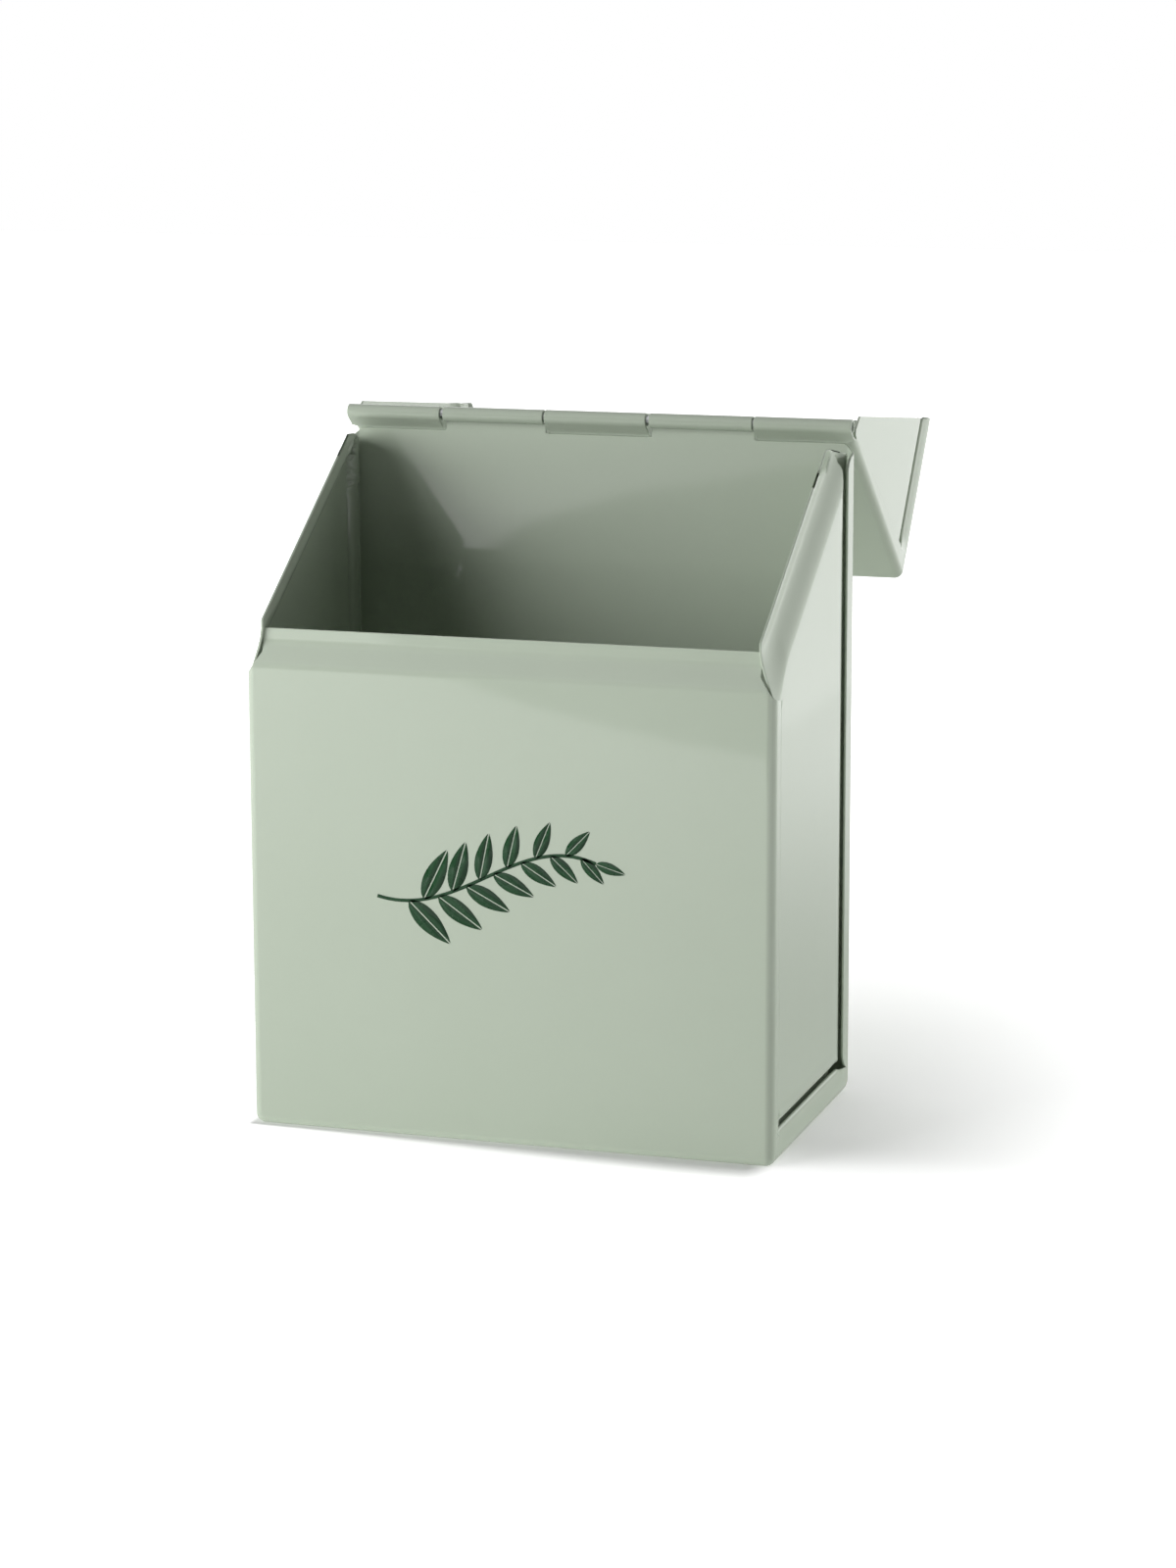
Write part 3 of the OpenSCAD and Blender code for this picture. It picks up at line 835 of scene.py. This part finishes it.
def green_print():
    """Dark green screen print, a little uneven."""
    ink = bpy.data.materials.new("leaf_green_print")
    nodes = drawn_on(ink)
    where = object_place(nodes)
    cloud = noise(nodes, where, 160, 3)
    colour = nodes.add("ValToRGB", {"stops": [(0.3, (0.009, 0.046, 0.016, 1)),
                                              (0.7, (0.013, 0.060, 0.021, 1))]}, cloud)
    bump = nodes.add("Bump", {}, Strength=0.5, Distance=0.01 * MM,
                     Height=noise(nodes, where, 1500))
    finish = nodes.add("BsdfPrincipled", {}, Base_Color=colour,
                       Roughness=cloud * 0.1 + 0.22, Normal=bump)
    nodes.end("ShaderNodeOutputMaterial", finish)
    return ink


# The printed sprig
def leaf_blade(length=19.0, wide=3.3, rib=0.22, proud=0.05, sunk=0.02):
    """The two halves of a leaf on both sides of its rib, as thin closed plates."""
    verts, faces = [], []
    t = np.linspace(0, 1, 15)
    bulge = np.sin(np.pi * t ** 0.8) ** 0.85
    for side in (1, -1):
        outer = np.column_stack([length * t, side * (rib + wide * bulge)])
        inner = np.column_stack([length * t[-2:0:-1], np.full(len(t) - 2, side * rib)])
        outline = np.vstack([outer, inner])[::side]
        first, count = len(verts), len(outline)
        verts.extend((x, y, z) for y in (-proud, sunk) for x, z in outline)
        faces.append([first + k for k in range(count)])
        faces.append([first + count + k for k in reversed(range(count))])
        for k in range(count):
            n = (k + 1) % count
            faces.append([first + n, first + k, first + count + k, first + count + n])
    return np.array(verts) * MM, faces


def sprig_group():
    """Geometry nodes that set leaves in turn on both sides of a curved stem."""
    group = bpy.data.node_groups.new("leafy_sprig", "GeometryNodeTree")
    for name, way, kind in (("Leaf", "INPUT", "Geometry"), ("Leaves", "INPUT", "Int"),
                            ("Lean", "INPUT", "Float"), ("Stem Width", "INPUT", "Float"),
                            ("Print", "INPUT", "Material"), ("Sprig", "OUTPUT", "Geometry")):
        group.interface.new_socket(name, in_out=way, socket_type="NodeSocket" + kind)
    nodes = Nodes(group)
    leaf, leaves, lean, width, ink = (nodes.add("NodeGroupInput", {}, out=k) for k in range(5))
    low, dip, rise, high = (tuple(on_body(np.array([[x, -0.02, z]]))[0]) for x, z in STEM_POINTS)
    stem = nodes.add("GeometryNodeCurvePrimitiveBezierSegment", {}, Resolution=40, Start=low,
                     Start_Handle=dip, End_Handle=rise, End=high)
    leafy = nodes.add("GeometryNodeTrimCurve", {}, stem, True, 0.14, 1.0)
    points = nodes.add("GeometryNodeResampleCurve", {}, Curve=leafy, Count=leaves)
    index = nodes.add("GeometryNodeInputIndex", {})
    along = index / (leaves - 1)
    # The leaves lean to the right and left in turn, and the last one ends the stem
    side = 1 - 2 * (index % 2)
    ending = along ** 14
    spin = nodes.add("FunctionNodeAxisAngleToRotation", {}, (0, 1, 0),
                     side * lean * (1 - ending))
    ahead = nodes.add("FunctionNodeAlignRotationToVector", {"axis": "X", "pivot_axis": "Y"},
                      Vector=nodes.add("GeometryNodeInputTangent", {}))
    turn = nodes.add("FunctionNodeRotateRotation", {"rotation_space": "LOCAL"}, ahead, spin)
    size = 1 - 0.47 * along
    foliage = nodes.add("GeometryNodeInstanceOnPoints", {}, Points=points, Instance=leaf,
                        Rotation=turn, Scale=nodes.add("CombineXYZ", {}, size, 1.0, size))
    upright = nodes.add("GeometryNodeSetCurveNormal", {"mode": "Z_UP"}, stem)
    taper = nodes.add("GeometryNodeSetCurveRadius", {}, Curve=upright,
                      Radius=1 - 0.5 * nodes.add("GeometryNodeSplineParameter", {}))
    profile = nodes.add("GeometryNodeCurvePrimitiveQuadrilateral", {}, Width=STEM_DEEP * MM,
                        Height=width)
    stalk = nodes.add("GeometryNodeCurveToMesh", {}, taper, profile, Fill_Caps=True)
    both = nodes.add("GeometryNodeJoinGeometry", {}, [stalk, foliage])
    whole = nodes.add("GeometryNodeRealizeInstances", {}, both)
    nodes.end("NodeGroupOutput", nodes.add("GeometryNodeSetMaterial", {}, Geometry=whole,
                                           Material=ink))
    return group


def make_sprig():
    """The leafy sprig printed on the front."""
    sprig = mesh_piece("front_sprig", *leaf_blade())
    grow = sprig.modifiers.new("grow", "NODES")
    grow.node_group = sprig_group()
    chosen = {"Leaves": LEAVES, "Lean": math.radians(LEAN), "Stem Width": STEM_W * MM,
              "Print": green_print()}
    for item in grow.node_group.interface.items_tree:
        if item.name in chosen:
            grow[item.identifier] = chosen[item.name]
    grown = sprig.evaluated_get(bpy.context.evaluated_depsgraph_get())
    printed = bpy.data.meshes.new_from_object(grown)
    sprig.modifiers.clear()
    sprig.data = printed
    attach(sprig, "body")


sage_paint = powder_coat()
for piece in (body_sheet, side_left, side_right, lid_sheet, cheek_left, cheek_right):
    piece.data.materials.append(sage_paint)
make_sprig()
wire = bare_wire()
for slot in bpy.data.objects["hinge_pin"].material_slots:
    slot.material = wire


# Floor, light and camera, in metres
def ease(nodes, value, low, high, start=0.0, end=1.0):
    """Goes smoothly from start to end while a wire goes from low to high."""
    return nodes.add("MapRange", {"interpolation_type": "SMOOTHSTEP"}, value, low, high, start,
                     end)


def distance_to(nodes, where, point):
    """How far a wire's place is from a point."""
    return nodes.add("VectorMath", {"operation": "DISTANCE"}, where, point, out=1)


def light_path(nodes, *rays):
    """Is 1 where light travels along one of some kinds of ray."""
    first, *others = (nodes.add("LightPath", {}, out="Is %s Ray" % ray) for ray in rays)
    return sum(others, first)


def foot_shade(nodes, where, across):
    """The thin line of painted shade under the front's edge, wider towards the right."""
    corner = (BOX_W / 2 * MM, BOX_D / 2 * MM, 0)
    outside = nodes.add("VectorMath", {"operation": "MAXIMUM"},
                        nodes.add("VectorMath", {"operation": "ABSOLUTE"}, where), corner)
    wide = ease(nodes, across, -0.088, 0.088, 0.0025, 0.018)
    return (ease(nodes, distance_to(nodes, outside, corner), 0.0, wide, 0.85, 0.0)
            * ease(nodes, across, 0.079, 0.0885, 1.0, 0.0))


def white_floor():
    """A white sheet that keeps a painted soft shadow close to the object and reads white beyond.
    """
    paper = bpy.data.materials.new("white_paper_floor")
    nodes = drawn_on(paper)
    where = object_place(nodes)
    across, back, _ = nodes.split(where)
    gloss = light_path(nodes, "Glossy")
    shown = light_path(nodes, "Camera", "Transmission")
    away = distance_to(nodes, where, (0, 0, 0))
    # Painted reflection: for glossy rays the floor glows brighter further away, to the right and
    # behind, and reads dark round the camera's stand, where the white sheet ends
    sheet = ease(nodes, distance_to(nodes, where, (0.15, -1.25, 0)), 0.60, 0.615)
    side = ease(nodes, across, 0.272, 0.284)
    behind = ease(nodes, back, 0.1, 0.6)
    mirrored = (ease(nodes, away, 0.2, 0.75, 0.0, 0.45) + 0.2 * side + 0.3 * behind) * sheet
    # Painted bounce light: for other rays the floor glows, less on the shaded part of the table
    # to the box's right and beyond the table's edge
    right = ease(nodes, distance_to(nodes, where, (0.36, 0.0, 0)), 0.16, 0.40, 0.7, 0.0)
    table = ease(nodes, away, 0.5, 0.9, 1.0, 0.1)
    painted_bounce = (1 - shown) * (1 - gloss) * (1 - right) * table * 0.56
    # Painted shadow: to the box's right the camera sees less glow, over the real shadow that the
    # key lamp casts there
    shape = nodes.add("VectorMath", {"operation": "MULTIPLY"}, where, (9.89, 3.72, 0))
    shade = (ease(nodes, distance_to(nodes, shape, (0.32, -0.68, 0)), 0.36, 2.61, 0.92, 0.0)
             * ease(nodes, back, -0.09, -0.015))
    # The floor's emission: white less the painted shadow and foot shade for the camera, the
    # painted reflection for glossy rays, the painted bounce light for other rays
    painted_light_and_shade = ((1 - shade) * (1 - foot_shade(nodes, where, across)) * shown + mirrored * gloss
            + painted_bounce)
    plain = nodes.add("BsdfDiffuse", {}, Color=(0.8, 0.8, 0.8, 1))
    dark = nodes.add("BsdfDiffuse", {}, Color=(0.05, 0.05, 0.05, 1))
    surface = nodes.add("MixShader", {}, gloss * (1 - sheet), plain, dark)
    light = nodes.add("Emission", {}, Color=painted_light_and_shade, Strength=1.0)
    nodes.end("ShaderNodeOutputMaterial", nodes.add("AddShader", {}, surface, light))
    return paper


def make_floor(half_width=4.0):
    """The table under the box."""
    corners = half_width * np.array([(-1, -1, 0), (1, -1, 0), (1, 1, 0), (-1, 1, 0)])
    floor = mesh_piece("floor", corners, [(0, 1, 2, 3)])
    floor.data.materials.append(white_floor())


def studio():
    """A studio with a white backdrop behind the object and a darker room before it."""
    world = bpy.data.worlds.new("studio")
    nodes = drawn_on(world)
    east, north, high = nodes.split(nodes.add("TexCoord", {}, out=0))
    gloss = light_path(nodes, "Glossy")
    backdrop = ease(nodes, north, -0.05, 0.25) * ease(nodes, high, 0.35, 0.6, 1.3, 0.65)
    card = (ease(nodes, east, 0.1, 0.6) * ease(nodes, north, 0.05, 0.2)
            * ease(nodes, high, 0.2, 0.3, 4.8, 0.0))
    ceiling = ease(nodes, high, 0.15, 0.45, 0.0, 0.9) * ease(nodes, north, -0.05, 0.25, 1.0, 0.0)
    room = nodes.add("Background", {}, Strength=1.0,
                     Color=backdrop + card * (1 - gloss) + ceiling * gloss + 0.05)
    white = nodes.add("Background", {}, Color=(1, 1, 1, 1), Strength=1.0)
    shown = light_path(nodes, "Camera", "Transmission")
    nodes.end("ShaderNodeOutputWorld", nodes.add("MixShader", {}, shown, room, white))
    return world


def soft_box(name, centre, aim, size, watts):
    """A large soft lamp that faces a point and shows in no reflection."""
    lamp = bpy.data.lights.new(name, "AREA")
    lamp.shape, lamp.size, lamp.size_y, lamp.energy = "RECTANGLE", size[0], size[1], watts
    holder = bpy.data.objects.new(name, lamp)
    holder.visible_glossy = False
    centre, aim = Vector(centre), Vector(aim)
    holder.matrix_world = (Matrix.Translation(centre)
                           @ (aim - centre).to_track_quat("-Z", "Y").to_matrix().to_4x4())
    bpy.context.scene.collection.objects.link(holder)


def aimed_camera(place, yaw, pitch, roll, lens):
    """A camera that looks along y, turned left by yaw, down by pitch and tilted by roll."""
    data = bpy.data.cameras.new("camera")
    data.sensor_width, data.lens, data.clip_end = 36, lens, 50
    camera = bpy.data.objects.new("camera", data)
    bpy.context.scene.collection.objects.link(camera)
    yaw, pitch, roll = (math.radians(v) for v in (yaw, pitch, roll))
    forward = Vector((-math.sin(yaw) * math.cos(pitch), math.cos(yaw) * math.cos(pitch),
                      -math.sin(pitch)))
    right = Vector((math.cos(yaw), math.sin(yaw), 0))
    up = right.cross(forward)
    right, up = (math.cos(roll) * right + math.sin(roll) * up,
                 math.cos(roll) * up - math.sin(roll) * right)
    turn = Matrix((right, up, -forward)).transposed().to_4x4()
    camera.matrix_world = Matrix.Translation(place) @ turn
    return camera


make_floor()
soft_box("key_soft_box", centre=(-1.04, -0.94, 0.48), aim=(0, 0, 0.12), size=(1.1, 0.96),
         watts=18.4)
scene = bpy.context.scene
scene.camera = aimed_camera((0.4082, -1.2354, 0.3712), yaw=17.807, pitch=11.423, roll=-0.173,
                            lens=93.62)
scene.view_settings.view_transform = "Standard"
scene.world = studio()
